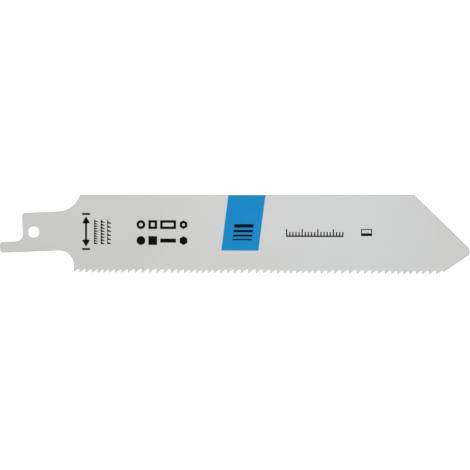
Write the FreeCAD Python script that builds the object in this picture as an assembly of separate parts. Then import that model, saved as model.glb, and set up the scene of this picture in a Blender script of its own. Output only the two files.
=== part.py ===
import FreeCAD, Part
import math
import os

# A reciprocating saw blade, punched from one strip of steel.
# It lies flat. The origin is the centre of the pin hole in the tang, at mid thickness.
# X runs along the back edge to the nose, Y points to the back edge, and the teeth point to -Y.
# Sizes are in millimetres and angles in degrees.

# The strip
overall_length = 152.4
blade_width = 25.4
thickness = 1.27
edge_break = 0.12

# The tang, which rises by its cant towards the nose, and the narrow tail behind it
tang_width = 12.7
tang_cant = 2.4
pin_hole_diameter = 3.8
pin_to_tang_end = 3.64
pin_to_tail_end = 11.46
tail_width = 3.45
tail_fillet = 2.3
end_round = 0.9

# Where the blade stands round the tang, measured from the pin hole
pin_to_back = 12.13
pin_to_heel = 13.4
pin_to_back_start = 15.42
upper_shoulder_radius = 7.9
lower_shoulder_radius = 4.7

# The pointed nose
back_slope = 44.5
nose_drop = 17.1
nose_flat = 1.8
toothed_slope = 34.8
nose_round = 0.5

# The teeth, whose pitch swings between fine and coarse along the row
# The strip is toothed before the blank is punched from it, so the heel cuts its first tip off.
mean_pitch = 2.158
pitch_swing = 0.3
gaps_in_swing = 15.0
finest_gap = 4.35
first_tip_to_heel = 0.42
gullet_depth_per_pitch = 0.585
relief_angle = 40.0
rake_angle = 4.0
tip_land = 0.05

# The set, which leans two teeth of every three out of the blade's plane, one to each side
set_pattern = (0, 1, -1)
set_angle = 16.0
set_inside_radius = 0.4
bend_below_gullet = 0.2

# How far a cutting shape reaches past what it cuts, and how near two points count as one
overcut = 1.0
same_place = 0.001


def vector(x, y, z=0.0):
    return FreeCAD.Vector(x, y, z)


def line(start, end):
    return Part.LineSegment(start, end).toShape()


def arc(start, middle, end):
    return Part.Arc(start, middle, end).toShape()


cant = math.radians(tang_cant)
relief = math.radians(relief_angle)
rake = math.radians(rake_angle)
lean = math.radians(set_angle)


def on_tang(along, across):
    """A point given along and across the canted tang, from the pin hole."""
    x = along * math.cos(cant) - across * math.sin(cant)
    y = along * math.sin(cant) + across * math.cos(cant)
    return vector(x, y)


# The tail and the tang, with the tang's lower edge running on to the heel
half_tang = tang_width / 2
tail_low = on_tang(-pin_to_tail_end, -half_tang)
tail_high = on_tang(-pin_to_tail_end, tail_width - half_tang)
tail_root = on_tang(-pin_to_tang_end, tail_width - half_tang)
tang_high = on_tang(-pin_to_tang_end, half_tang)
heel_root = vector(pin_to_heel, pin_to_heel * math.tan(cant) - half_tang / math.cos(cant))

# The tail's rounded upper corner is the leftmost point, so the overall length starts there.
tail_round_centre = on_tang(end_round - pin_to_tail_end, tail_width - half_tang - end_round)
nose_x = tail_round_centre.x - end_round + overall_length

# The back edge, the nose and the toothed edge
back_y = pin_to_back
tip_y = back_y - blade_width
back_start = vector(pin_to_back_start, back_y)
back_end = vector(nose_x - nose_drop / math.tan(math.radians(back_slope)), back_y)
nose_high = vector(nose_x, back_y - nose_drop)
nose_low = vector(nose_x, nose_high.y - nose_flat)
row_end = vector(nose_x - (nose_low.y - tip_y) / math.tan(math.radians(toothed_slope)), tip_y)
heel_foot = vector(pin_to_heel, tip_y)

# The round under the tang ends above the deepest gullet, and the teeth bend below the shallowest.
deepest_gullet = gullet_depth_per_pitch * (mean_pitch + pitch_swing)
shallowest_gullet = gullet_depth_per_pitch * (mean_pitch - pitch_swing)
shoulder_radius = min(lower_shoulder_radius, heel_root.y - tip_y - deepest_gullet)
bend_y = tip_y + shallowest_gullet - bend_below_gullet


def shoulder_arc():
    """The round over the tang: it touches the tang's upper edge and ends at the back edge's start."""
    along = back_start.x * math.cos(cant) + back_start.y * math.sin(cant)
    across = back_start.y * math.cos(cant) - back_start.x * math.sin(cant)
    centre_across = half_tang + upper_shoulder_radius
    centre_along = along - math.sqrt(upper_shoulder_radius**2 - (centre_across - across) ** 2)
    centre = on_tang(centre_along, centre_across)
    foot = on_tang(centre_along, half_tang)
    halfway = (foot + back_start) * 0.5 - centre
    middle = centre + halfway.normalize() * upper_shoulder_radius
    return foot, middle, back_start


def outline():
    """The blade's outline, with sharp corners and with a straight edge where the teeth will be."""
    foot, middle, end = shoulder_arc()
    corners = [
        back_start,
        back_end,
        nose_high,
        nose_low,
        row_end,
        heel_foot,
        heel_root,
        tail_low,
        tail_high,
        tail_root,
        tang_high,
        foot,
    ]
    edges = [line(here, following) for here, following in zip(corners, corners[1:])]
    edges.append(arc(foot, middle, end))
    return Part.Wire(edges)


def upright_edges(plate, places):
    """The plate's edges that stand upright at the given places."""
    found = []
    for edge in plate.Edges:
        foot = vector(edge.Vertexes[0].X, edge.Vertexes[0].Y)
        is_upright = edge.BoundBox.ZLength > thickness / 2
        if is_upright and any(foot.distanceToPoint(place) < same_place for place in places):
            found.append(edge)
    return found


def face_edges(plate):
    """The edges round the plate's two faces, apart from the toothed edge."""
    found = []
    for edge in plate.Edges:
        is_level = edge.BoundBox.ZLength < same_place
        if is_level and edge.BoundBox.YMax > tip_y + same_place:
            found.append(edge)
    return found


def blank():
    """The punched blank with its pin hole, before the teeth are cut."""
    plate = Part.Face(outline()).extrude(vector(0, 0, thickness))
    plate.translate(vector(0, 0, -thickness / 2))
    plate = plate.makeFillet(end_round, upright_edges(plate, [tail_low, tail_high, tang_high]))
    plate = plate.makeFillet(tail_fillet, upright_edges(plate, [tail_root]))
    plate = plate.makeFillet(shoulder_radius, upright_edges(plate, [heel_root]))
    plate = plate.makeFillet(nose_round, upright_edges(plate, [nose_high, nose_low]))
    plate = plate.cut(Part.makeCylinder(pin_hole_diameter / 2, 2 * thickness, vector(0, 0, -thickness)))
    return plate.makeChamfer(edge_break, face_edges(plate))


def pitch_of(gap):
    """The pitch at one gap, which rises and falls evenly between the finest and the coarsest."""
    share = ((gap - finest_gap) / gaps_in_swing) % 1.0
    coarseness = 1 - abs(2 * share - 1)
    return mean_pitch + pitch_swing * (2 * coarseness - 1)


def tooth_tips():
    """How far along X each tooth tip stands, from just before the heel to the end of the row."""
    tips = [pin_to_heel - first_tip_to_heel]
    next_tip = tips[0] + pitch_of(0)
    while next_tip + tip_land < row_end.x:
        tips.append(next_tip)
        next_tip += pitch_of(len(tips) - 1)
    return tips


def gullet_floor(pitch):
    """The centre of a gullet's round floor, measured from the tip before it, and its radius.

    The round touches the relief behind one tooth and the rake face of the next.
    """
    depth = gullet_depth_per_pitch * pitch
    room = (pitch - tip_land + depth * math.tan(rake)) * math.sin(relief) - depth * math.cos(relief)
    room_per_radius = 1 - math.cos(relief) + math.sin(relief) * (1 + math.sin(rake)) / math.cos(rake)
    radius = room / room_per_radius
    height = depth - radius
    return vector(pitch + (height * math.sin(rake) - radius) / math.cos(rake), height), radius


def gullet(tip_x, pitch):
    """The space from one tooth tip to the next, cut taller than the blade and its set teeth."""
    centre, radius = gullet_floor(pitch)
    relief_foot = vector(tip_land, 0)
    relief_end = centre + vector(-math.sin(relief), math.cos(relief)) * radius
    rake_end = centre + vector(math.cos(rake), -math.sin(rake)) * radius
    rake_foot = vector(pitch, 0)
    below = vector(0, -overcut)
    edges = [
        line(relief_foot, relief_end),
        arc(relief_end, centre + vector(0, radius), rake_end),
        line(rake_end, rake_foot),
        line(rake_foot, rake_foot + below),
        line(rake_foot + below, relief_foot + below),
        line(relief_foot + below, relief_foot),
    ]
    space = Part.Face(Part.Wire(edges)).extrude(vector(0, 0, 2 * thickness))
    space.translate(vector(tip_x, tip_y, -thickness))
    return space


def bent_face(face_z, side):
    """One face of a leaning tooth in section: the start, middle and end of its bend, and its foot."""
    centre_z = side * (thickness / 2 + set_inside_radius)
    radius = abs(centre_z - face_z)

    def on_bend(turn):
        return vector(0, bend_y - radius * math.sin(turn), centre_z - side * radius * math.cos(turn))

    end = on_bend(lean)
    foot = vector(0, tip_y, end.z + side * (end.y - tip_y) * math.tan(lean))
    return on_bend(0), on_bend(lean / 2), end, foot


def leaning_bar(start_x, end_x, side):
    """A short bar with the blade's section at the bend line, which leans to one side below it."""
    start, middle, end, foot = bent_face(thickness / 2, side)
    far_start, far_middle, far_end, far_foot = bent_face(-thickness / 2, side)
    edges = [
        arc(start, middle, end),
        line(end, foot),
        line(foot, far_foot),
        line(far_foot, far_end),
        arc(far_end, far_middle, far_start),
        line(far_start, start),
    ]
    bar = Part.Face(Part.Wire(edges)).extrude(vector(end_x - start_x, 0, 0))
    bar.translate(vector(start_x, 0, 0))
    return bar


def saw_blade():
    """The blank with its row of teeth cut and set."""
    tips = tooth_tips()
    pitches = [pitch_of(gap) for gap in range(len(tips))]
    gullets = [gullet(tip_x, pitch) for tip_x, pitch in zip(tips, pitches)]
    floors = [tip_x + gullet_floor(pitch)[0].x for tip_x, pitch in zip(tips, pitches)]
    straight_ends = []
    leaning_teeth = []

    # The first and the last tooth stay straight, beside the heel and the nose.
    for tooth in range(1, len(tips) - 1):
        side = set_pattern[tooth % len(set_pattern)]
        if side:
            start_x, end_x = floors[tooth - 1], floors[tooth]
            corner = vector(start_x, tip_y - overcut, -thickness)
            size = (end_x - start_x, bend_y - tip_y + overcut, 2 * thickness)
            straight_ends.append(Part.makeBox(*size, corner))
            bar = leaning_bar(start_x, end_x, side)
            leaning_teeth.append(bar.cut([gullets[tooth - 1], gullets[tooth]]))

    blade = blank().cut(gullets).cut(straight_ends)
    return blade.fuse(leaning_teeth).removeSplitter()


os.makedirs("parts", exist_ok=True)
saw_blade().exportStep("parts/saw_blade.step")
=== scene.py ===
import bpy
import math
from mathutils import Euler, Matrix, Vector


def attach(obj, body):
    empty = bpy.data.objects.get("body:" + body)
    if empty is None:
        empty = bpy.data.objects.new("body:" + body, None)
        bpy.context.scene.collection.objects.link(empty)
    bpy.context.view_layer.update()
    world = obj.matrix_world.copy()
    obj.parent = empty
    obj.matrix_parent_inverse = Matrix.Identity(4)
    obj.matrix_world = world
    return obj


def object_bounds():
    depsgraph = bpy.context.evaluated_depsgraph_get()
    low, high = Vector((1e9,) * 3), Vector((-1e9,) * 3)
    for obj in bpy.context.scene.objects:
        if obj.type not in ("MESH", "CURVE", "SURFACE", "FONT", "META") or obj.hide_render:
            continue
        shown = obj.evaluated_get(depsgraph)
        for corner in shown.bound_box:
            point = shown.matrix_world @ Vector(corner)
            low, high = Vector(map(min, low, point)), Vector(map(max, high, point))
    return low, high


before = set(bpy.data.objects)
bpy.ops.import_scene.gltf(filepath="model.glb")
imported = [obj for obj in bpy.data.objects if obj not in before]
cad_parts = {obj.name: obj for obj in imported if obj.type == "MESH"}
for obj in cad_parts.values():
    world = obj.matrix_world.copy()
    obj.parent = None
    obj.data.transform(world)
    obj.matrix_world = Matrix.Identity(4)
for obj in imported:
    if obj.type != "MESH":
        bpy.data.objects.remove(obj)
cad_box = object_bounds()
lowest, highest = cad_box
mm = 0.001

# The blade
# One strip of spring steel, punched to its outline and toothed, with the teeth set to both sides.
# It is sprayed with a light grey satin lacquer, a little cooler in tone in the nose half. The broken
# corners of the outline carry a painted shade, darker than the faces, and the cut walls a painted
# light, lighter than the faces against the shade that falls on them. The wall of the pin hole is bare,
# bright steel.
lacquer_warm = (205, 205, 203)
lacquer_cool = (204, 206, 205)
lacquer_in_patches = (199, 200, 198)
# The broken corners of the outline are painted darker than the faces: a painted shade along the outline.
painted_corner_shade = (158, 158, 157)
# The cut walls are painted lighter than the faces: painted light that evens out the shade that falls on
# them.
painted_light_on_walls = (222, 222, 220)
bare_steel = (229, 230, 231)
# The pin hole's axis is the frame's own, and its wall is told from the rest by how near it lies.
hole_starts, hole_is_full = 2.8 * mm, 2.2 * mm
cool_starts, cool_is_full = 50 * mm, 90 * mm
cool_fades, cool_is_gone = 122 * mm, 140 * mm
# How flat a surface lies runs from 1 on the faces to 0 on the cut walls.
corner_starts, corner_is_full = 0.93, 0.78
wall_starts, wall_is_full = 0.6, 0.3
patch_size = 24 * mm
patch_detail = 1.0
patch_share = 0.6
patch_starts, patch_is_full = 0.4, 0.8
peel_size = 0.45 * mm
peel_height = 0.0022 * mm
rolling_line_width = 0.16 * mm
rolling_line_stretch = 90
rolling_line_height = 0.0015 * mm
punch_line_width = 0.07 * mm
punch_line_stretch = 25
punch_line_height = 0.012 * mm
line_detail = 3.0
lacquer_roughness, lacquer_roughness_change = 0.4, 0.08
bare_steel_is_smoother = 0.2
lacquer_shine = 0.4


class Socket:
    """A node's output in a material. Arithmetic on it adds Math nodes."""

    def __init__(self, tree, output=None):
        self.tree = tree
        self.output = output

    def node(self, kind, inputs, output=0, **settings):
        """Another node, whose settings are made first and whose sockets are then filled or linked."""
        added = self.tree.nodes.new(kind)
        for name, setting in settings.items():
            setattr(added, name, setting)
        for name, given in inputs.items():
            if isinstance(given, Socket):
                self.tree.links.new(given.output, added.inputs[name])
            else:
                added.inputs[name].default_value = given
        return Socket(self.tree, added.outputs[output])

    def maths(self, operation, first, second):
        return self.node("ShaderNodeMath", {0: first, 1: second}, operation=operation)

    def __add__(self, other):
        return self.maths("ADD", self, other)

    def __mul__(self, other):
        return self.maths("MULTIPLY", self, other)

    def __sub__(self, other):
        return self.maths("SUBTRACT", self, other)

    def __rsub__(self, other):
        return self.maths("SUBTRACT", other, self)

    __radd__ = __add__
    __rmul__ = __mul__

    def between(self, first, second):
        """The colour that lies this share of the way from the first to the second."""
        first_colour, second_colour, mixed_colour = 6, 7, 2
        inputs = {0: self, first_colour: first, second_colour: second}
        return self.node("ShaderNodeMix", inputs, mixed_colour, data_type="RGBA")

    def noise(self, size, stretch=(1, 1, 1), detail=2.0):
        """Noise at this place, with patches about as wide as the size, drawn out by the stretch."""
        squeeze = [1 / times for times in stretch]
        place = self.node("ShaderNodeMapping", {"Vector": self, "Scale": squeeze})
        return self.node("ShaderNodeTexNoise", {"Vector": place, "Scale": 1 / size, "Detail": detail})

    def rise(self, start, end):
        """Turns smoothly from 0 at the start to 1 at the end."""
        inputs = {"Value": self, "From Min": start, "From Max": end}
        return self.node("ShaderNodeMapRange", inputs, interpolation_type="SMOOTHSTEP")


def screen_colour(red, green, blue):
    """A colour as a screen shows it, from 0 to 255, on the scale that a shader takes."""
    shares = [level / 255 for level in (red, green, blue)]
    return [share / 12.92 if share < 0.04 else ((share + 0.055) / 1.055) ** 2.4 for share in shares] + [1]


def new_material(name):
    """An empty material and the place of a point on its piece."""
    material = bpy.data.materials.new(name)
    material.use_nodes = True
    material.node_tree.nodes.clear()
    return material, Socket(material.node_tree).node("ShaderNodeTexCoord", {}, "Object")


def show(material, surface):
    """Makes the surface what the material shows."""
    output = material.node_tree.nodes.new("ShaderNodeOutputMaterial")
    material.node_tree.links.new(surface.output, output.inputs["Surface"])


lacquer, place = new_material("grey_satin_lacquer")
direction = place.node("ShaderNodeTexCoord", {}, "Normal")
upward = place.node("ShaderNodeSeparateXYZ", {0: direction}, "Z")
flatness = place.node("ShaderNodeMath", {0: upward}, operation="ABSOLUTE")
corner = flatness.rise(corner_starts, corner_is_full)
wall = flatness.rise(wall_starts, wall_is_full)
level_place = place.node("ShaderNodeVectorMath", {0: place, 1: (1, 1, 0)}, operation="MULTIPLY")
from_hole = place.node("ShaderNodeVectorMath", {0: level_place}, "Value", operation="LENGTH")
in_hole = from_hole.rise(hole_starts, hole_is_full)
bare_wall = wall * in_hole
along = place.node("ShaderNodeSeparateXYZ", {0: place}, "X")
coolness = along.rise(cool_starts, cool_is_full) * along.rise(cool_is_gone, cool_fades)
patches = place.noise(patch_size, detail=patch_detail)
peel = place.noise(peel_size)
rolling_lines = place.noise(rolling_line_width, stretch=(rolling_line_stretch, 1, 1), detail=line_detail)
punch_lines = place.noise(punch_line_width, stretch=(1, 1, punch_line_stretch), detail=line_detail)
drift = coolness.between(screen_colour(*lacquer_warm), screen_colour(*lacquer_cool))
patchiness = patch_share * patches + (1 - patch_share) * rolling_lines
thin_spots = patchiness.rise(patch_starts, patch_is_full)
on_faces = thin_spots.between(drift, screen_colour(*lacquer_in_patches))
# The broken corners, outside the pin hole, take the painted shade.
with_painted_corner_shade = (corner * (1 - in_hole)).between(on_faces, screen_colour(*painted_corner_shade))
# The cut walls take the painted light, and the wall of the pin hole the bare steel.
on_walls = in_hole.between(screen_colour(*painted_light_on_walls), screen_colour(*bare_steel))
face_relief = peel * peel_height + rolling_lines * rolling_line_height
wall_relief = punch_lines * punch_line_height
relief = (1 - corner) * face_relief + wall * wall_relief
roughness = lacquer_roughness + lacquer_roughness_change * (peel + wall)
show(lacquer, place.node("ShaderNodeBsdfPrincipled", {
    "Base Color": wall.between(with_painted_corner_shade, on_walls),
    "Metallic": bare_wall,
    "Roughness": roughness - bare_steel_is_smoother * bare_wall,
    "Specular IOR Level": lacquer_shine,
    "Normal": relief.node("ShaderNodeBump", {"Height": relief, "Distance": 1.0}),
}))
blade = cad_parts["saw_blade"]
blade.data.materials.clear()
blade.data.materials.append(lacquer)

# The blue field
# A block of blue ink, printed on one side only. Its upper end leans towards the nose and runs
# over the broken corner of the back edge.
ink_blue = (3, 136, 202)
ink_blue_thin = (10, 139, 204)
blue_cloud_size = 3 * mm
blue_cloud_share = 0.6
blue_thins, blue_is_thin = 0.3, 0.7
blue_shine = 0.08
ink_roughness, ink_roughness_change = 0.45, 0.1
ink_thickness = 0.02 * mm
ink_outside = 0.5
field_lean = math.radians(7.1)
field_start = 64.16 * mm
field_width = 12.03 * mm
field_depth = 17.97 * mm
same_point = 0.002 * mm

# The set teeth stand higher than the face, so its height is read off the tang.
tang_points = [point.co for point in blade.data.vertices if point.co.x < 0]
face = max(point.z for point in tang_points)
back = highest.y
back_corner = max(point.co.y for point in blade.data.vertices if point.co.z > face - same_point)


def plate(x, y, length, height, z=face):
    """A flat rectangle, given by its middle and its sides."""
    bpy.ops.object.select_all(action="DESELECT")
    bpy.ops.mesh.primitive_plane_add(size=1, location=(x, y, z))
    bpy.ops.transform.resize(value=(length, height, 1))
    bpy.ops.object.transform_apply(location=True, rotation=True, scale=True)
    return bpy.context.object


def pick(piece, wanted):
    """Selects the points of a piece, in edit mode, whose places pass the test."""
    bpy.context.view_layer.objects.active = piece
    bpy.ops.object.mode_set(mode="EDIT")
    bpy.ops.mesh.select_all(action="DESELECT")
    bpy.ops.object.mode_set(mode="OBJECT")
    for point in piece.data.vertices:
        point.select = wanted(point.co)
    bpy.ops.object.mode_set(mode="EDIT")


def lean(piece, middle_y, height):
    """Leans a flat rectangle as the field leans, by moving its upper and lower ends apart."""
    half_way = height / 2 * math.tan(field_lean)
    for end in (1, -1):
        pick(piece, lambda place: (place.y - middle_y) * end > 0)
        bpy.ops.transform.translate(value=(end * half_way, 0, 0))
        bpy.ops.object.mode_set(mode="OBJECT")


def printed(name, marks, ink):
    """Joins flat marks into one piece, welded where they meet, and gives it the thickness of its ink."""
    bpy.ops.object.select_all(action="DESELECT")
    for mark in marks:
        mark.select_set(True)
    layer = marks[0]
    bpy.context.view_layer.objects.active = layer
    if len(marks) > 1:
        bpy.ops.object.join()
    pick(layer, lambda place: True)
    bpy.ops.mesh.remove_doubles(threshold=same_point)
    bpy.ops.object.mode_set(mode="OBJECT")
    layer.name = name
    bpy.ops.object.modifier_add(type="SOLIDIFY")
    thickening = layer.modifiers[-1]
    thickening.thickness = ink_thickness
    thickening.offset = ink_outside
    thickening.use_even_offset = True
    bpy.ops.object.modifier_apply(modifier=thickening.name)
    layer.data.materials.append(ink)
    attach(layer, "root")


blue_ink, place = new_material("blue_print")
cloud = place.noise(blue_cloud_size)
grain = place.noise(peel_size)
thin_places = (blue_cloud_share * cloud + (1 - blue_cloud_share) * grain).rise(blue_thins, blue_is_thin)
show(blue_ink, place.node("ShaderNodeBsdfPrincipled", {
    "Base Color": thin_places.between(screen_colour(*ink_blue), screen_colour(*ink_blue_thin)),
    "Roughness": ink_roughness + ink_roughness_change * grain,
    "Specular IOR Level": blue_shine,
    "Normal": place.node("ShaderNodeBump", {"Height": grain, "Distance": peel_height}),
}))

field_on_face = field_depth - (back - back_corner)
field_middle_y = back_corner - field_on_face / 2
field_middle_x = field_start + (field_width - field_depth * math.tan(field_lean)) / 2
field = plate(field_middle_x, field_middle_y, field_width, field_on_face)
lean(field, field_middle_y, field_on_face)
over_corner = back - back_corner - ink_thickness
pick(field, lambda place: place.y > field_middle_y)
bpy.ops.mesh.extrude_edges_move(TRANSFORM_OT_translate={
    "value": (over_corner * math.tan(field_lean), over_corner, -over_corner),
})
bpy.ops.object.mode_set(mode="OBJECT")
printed("blue_field", [field], blue_ink)

# The length mark and the pitch marks
# Black ink, printed across the blade beside the tang. A double arrow between two stops stands
# for the length, and three toothed lines stand for a fine, a middle and a coarse pitch.
ink_black = (2, 2, 3)
ink_black_thin = (10, 10, 11)
black_cloud_size = 0.8 * mm
black_thins, black_is_thin = 0.35, 0.75
black_shine = 0.03
length_mark_x = 17.5 * mm
length_mark_span = 12.1 * mm
length_mark_middle_y = 0.2 * mm
length_mark_width = 2.6 * mm
bold_line = 0.65 * mm
stop_gap = 0.4 * mm
arrow_barb = 0.25 * mm
arrow_head = 2.2 * mm
pitch_marks_y = 0.1 * mm
pitch_marks_length = 8.0 * mm
pitch_mark_line = 0.25 * mm
pitch_mark_tooth = 1.3 * mm
pitch_mark_places = (20.15 * mm, 22.35 * mm, 24.5 * mm)
pitch_mark_teeth = (10, 8, 6)
pitch_mark_tooth_shares = (0.75, 0.76, 0.55)

black_ink, place = new_material("black_print")
cloud = place.noise(black_cloud_size)
grain = place.noise(peel_size)
thin_places = cloud.rise(black_thins, black_is_thin)
show(black_ink, place.node("ShaderNodeBsdfPrincipled", {
    "Base Color": thin_places.between(screen_colour(*ink_black), screen_colour(*ink_black_thin)),
    "Roughness": ink_roughness + ink_roughness_change * grain,
    "Specular IOR Level": black_shine,
    "Normal": place.node("ShaderNodeBump", {"Height": grain, "Distance": peel_height}),
}))

stops = []
for end in (1, -1):
    stop_y = length_mark_middle_y + end * (length_mark_span - bold_line) / 2
    stops.append(plate(length_mark_x, stop_y, length_mark_width, bold_line))

arrow_length = length_mark_span - 2 * (bold_line + stop_gap)
shaft_length = arrow_length - 2 * (arrow_barb + arrow_head)
arrow = plate(length_mark_x, length_mark_middle_y, bold_line, shaft_length)
for end in (1, -1):
    pick(arrow, lambda place: (place.y - length_mark_middle_y) * end > shaft_length / 2 - arrow_barb)
    bpy.ops.mesh.extrude_edges_move(TRANSFORM_OT_translate={"value": (0, end * arrow_barb, 0)})
    bpy.ops.transform.resize(value=(length_mark_width / bold_line, 1, 1))
    bpy.ops.mesh.extrude_edges_move(TRANSFORM_OT_translate={"value": (0, end * arrow_head, 0)})
    bpy.ops.mesh.merge(type="CENTER")
    bpy.ops.object.mode_set(mode="OBJECT")
printed("length_mark", [arrow] + stops, black_ink)

pitch_marks = []
for line_x, teeth, tooth_share in zip(pitch_mark_places, pitch_mark_teeth, pitch_mark_tooth_shares):
    pitch = pitch_marks_length / teeth
    tooth_root = pitch * tooth_share
    first_y = pitch_marks_y - pitch_marks_length / 2 + tooth_root / 2
    line_middle_x = line_x + pitch_mark_line / 2
    line = plate(line_middle_x, first_y, pitch_mark_line, tooth_root)
    pick(line, lambda place: place.x > line_middle_x)
    bpy.ops.mesh.extrude_edges_move(TRANSFORM_OT_translate={"value": (pitch_mark_tooth, 0, 0)})
    bpy.ops.mesh.merge(type="CENTER")
    bpy.ops.transform.translate(value=(0, -tooth_root / 2, 0))
    bpy.ops.object.mode_set(mode="OBJECT")
    pick(line, lambda place: place.y > first_y)
    bpy.ops.mesh.extrude_edges_move(TRANSFORM_OT_translate={"value": (0, pitch - tooth_root, 0)})
    bpy.ops.object.mode_set(mode="OBJECT")
    bpy.ops.object.modifier_add(type="ARRAY")
    row = line.modifiers[-1]
    row.count = teeth
    row.use_relative_offset = False
    row.use_constant_offset = True
    row.constant_offset_displace = (0, pitch, 0)
    row.use_merge_vertices = True
    row.merge_threshold = same_point
    bpy.ops.object.modifier_apply(modifier=row.name)
    pitch_marks.append(line)
printed("pitch_marks", pitch_marks, black_ink)

# The section marks
# Black ink. The upper row stands for what is hollow in section, a round, a square, a flat and a
# six-sided tube, and the lower row for solid bars, of which the flat one is thinner.
section_height = 2.88 * mm
section_wall = 0.82 * mm
section_gap = 1.0 * mm
flat_section_length = 5.2 * mm
flat_bar_height = 1.3 * mm
sections_start = 34.2 * mm
hollow_row_y = 2.5 * mm
solid_row_y = -2.68 * mm
round_sides, hexagon_sides = 48, 6


def disc(x, y, across, sides):
    """A flat disc, or an even shape with that many sides."""
    middle = (x, y, face)
    bpy.ops.object.select_all(action="DESELECT")
    bpy.ops.mesh.primitive_circle_add(vertices=sides, radius=across / 2, fill_type="NGON", location=middle)
    bpy.ops.object.transform_apply(location=True, rotation=True, scale=True)
    return bpy.context.object


def hollow(mark, wall):
    """Leaves a frame of that width of a flat mark."""
    pick(mark, lambda place: True)
    bpy.ops.mesh.inset(thickness=wall, depth=0)
    bpy.ops.mesh.delete(type="FACE")
    bpy.ops.object.mode_set(mode="OBJECT")


def section_row(y, flat_height):
    """The four sections side by side, of which the flat one has a height of its own."""
    x = sections_start + section_height / 2
    row = [disc(x, y, section_height, round_sides)]
    x += section_height + section_gap
    row.append(plate(x, y, section_height, section_height))
    x += (section_height + flat_section_length) / 2 + section_gap
    row.append(plate(x, y, flat_section_length, flat_height))
    x += (flat_section_length + section_height) / 2 + section_gap
    row.append(disc(x, y, section_height, hexagon_sides))
    return row


hollow_row = section_row(hollow_row_y, section_height)
for mark in hollow_row:
    hollow(mark, section_wall)
printed("hollow_section_marks", hollow_row, black_ink)
printed("solid_section_marks", section_row(solid_row_y, flat_bar_height), black_ink)

# The thickness mark
# Black ink, printed over the blue field and leaning with it. Four bars that grow thinner
# downwards stand for plate and sheet.
sheet_bars = (1.1 * mm, 0.78 * mm, 0.62 * mm, 0.46 * mm)
sheet_bar_gap = 0.75 * mm
sheet_bar_length = 6.3 * mm
sheet_mark_top = 2.7 * mm
sheet_mark_middle_x = 69.3 * mm
on_blue = face + ink_thickness * (1 + ink_outside) / 2

bars = []
bar_top = sheet_mark_top
for bar_height in sheet_bars:
    bar_y = bar_top - bar_height / 2
    lean_way = (bar_y - sheet_mark_top) * math.tan(field_lean)
    bar = plate(sheet_mark_middle_x + lean_way, bar_y, sheet_bar_length, bar_height, on_blue)
    lean(bar, bar_y, bar_height)
    bars.append(bar)
    bar_top -= bar_height + sheet_bar_gap
printed("thickness_mark", bars, black_ink)

# The fine rule and the two-metal mark
# Thin black ink on the nose half of the blade. The rule has a stroke on its line for each
# millimetre, and the frame with a heavy lower side stands for a hard edge on a softer back.
rule_start = 83.05 * mm
rule_foot = -1.35 * mm
rule_line = 0.45 * mm
rule_strokes = 19
rule_stroke = 0.4 * mm
short_stroke = 1.6 * mm
long_stroke = 2.5 * mm
long_stroke_every = 5
two_metal_x, two_metal_y = 108.6 * mm, 0.1 * mm
two_metal_length, two_metal_height = 3.5 * mm, 2.24 * mm
two_metal_wall = 0.3 * mm
two_metal_hard = 0.6 * mm

strokes = []
line_y = rule_foot + rule_line / 2
for count in range(rule_strokes):
    stroke_x = rule_start + count * mm
    height = short_stroke if count % long_stroke_every else long_stroke
    stroke = plate(stroke_x, line_y, rule_stroke, rule_line)
    pick(stroke, lambda place: place.y > line_y)
    bpy.ops.mesh.extrude_edges_move(TRANSFORM_OT_translate={"value": (0, height - rule_line, 0)})
    bpy.ops.object.mode_set(mode="OBJECT")
    if count < rule_strokes - 1:
        pick(stroke, lambda place: place.x > stroke_x and place.y < line_y + rule_line)
        bpy.ops.mesh.extrude_edges_move(TRANSFORM_OT_translate={"value": (mm - rule_stroke, 0, 0)})
        bpy.ops.object.mode_set(mode="OBJECT")
    strokes.append(stroke)
printed("fine_rule", strokes, black_ink)

two_metals = plate(two_metal_x, two_metal_y, two_metal_length, two_metal_height)
hollow(two_metals, two_metal_wall)
inner_foot = two_metal_y - two_metal_height / 2 + two_metal_wall
pick(two_metals, lambda place: abs(place.y - inner_foot) < two_metal_wall / 2)
bpy.ops.transform.translate(value=(0, two_metal_hard, 0))
bpy.ops.object.mode_set(mode="OBJECT")
printed("two_metal_mark", [two_metals], black_ink)

# The floor
# A pale surface that the blade lies on. The camera and the reflections see it as white, and it
# still takes the blade's shadow, close round the edge.
floor_size = 3.0
floor_grey = 0.8
floor_glow = 0.5

bpy.ops.object.select_all(action="DESELECT")
bpy.ops.mesh.primitive_plane_add(size=floor_size, location=(0, 0, lowest.z))
floor = bpy.context.object
floor.name = "floor"


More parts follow.
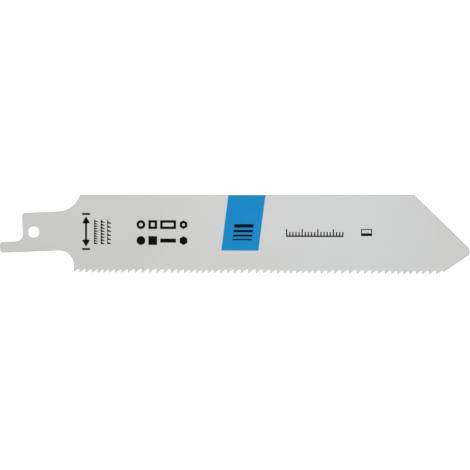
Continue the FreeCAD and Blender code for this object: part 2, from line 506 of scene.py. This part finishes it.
def seen_directly(tree):
    """1 for what the camera sees, also in a reflection or through glass, and 0 for what only lights."""
    camera = tree.node("ShaderNodeLightPath", {}, "Is Camera Ray")
    glossy = tree.node("ShaderNodeLightPath", {}, "Is Glossy Ray")
    through = tree.node("ShaderNodeLightPath", {}, "Is Transmission Ray")
    return tree.node("ShaderNodeMath", {0: camera + glossy, 1: through}, operation="ADD", use_clamp=True)


pale, place = new_material("pale_floor")
diffuse = place.node("ShaderNodeBsdfDiffuse", {"Color": (floor_grey, floor_grey, floor_grey, 1)})
glow = place.node("ShaderNodeEmission", {"Strength": seen_directly(place) * floor_glow})
show(pale, place.node("ShaderNodeAddShader", {0: diffuse, 1: glow}))
floor.data.materials.append(pale)

# The room and the lamp
# A white room gives a part of the light. The rest is one soft lamp, high over the blade and a
# little towards its nose and its back edge, so that the light falls off to both ends.
room_light = 0.6
lamp_place = Vector((83, 30, 400)) * mm
lamp_size = 100 * mm
lamp_power = 0.56

world = bpy.data.worlds.new("room")
world.use_nodes = True
world.node_tree.nodes.clear()
tree = Socket(world.node_tree)
background = tree.node("ShaderNodeBackground", {
    "Color": (1, 1, 1, 1),
    "Strength": room_light + (1 - room_light) * seen_directly(tree),
})
output = world.node_tree.nodes.new("ShaderNodeOutputWorld")
world.node_tree.links.new(background.output, output.inputs["Surface"])
bpy.context.scene.world = world

bpy.ops.object.light_add(type="AREA", location=lamp_place)
lamp = bpy.context.object
lamp.data.size = lamp_size
lamp.data.energy = lamp_power

# The camera
# It looks down on the blade from a short way off, a little towards the nose, which so shows
# slightly larger than the tang.
looked_at = Vector((66.37, -0.8, 0.635)) * mm
camera_distance = 350.2 * mm
camera_turn = Euler([math.radians(angle) for angle in (-0.6, 4.8, 0.12)])
camera_lens = 83.0

camera_place = looked_at + camera_turn.to_matrix() @ Vector((0, 0, camera_distance))
bpy.ops.object.camera_add(location=camera_place, rotation=camera_turn)
camera = bpy.context.object
camera.data.lens = camera_lens
bpy.context.scene.camera = camera
bpy.context.scene.view_settings.view_transform = "Standard"
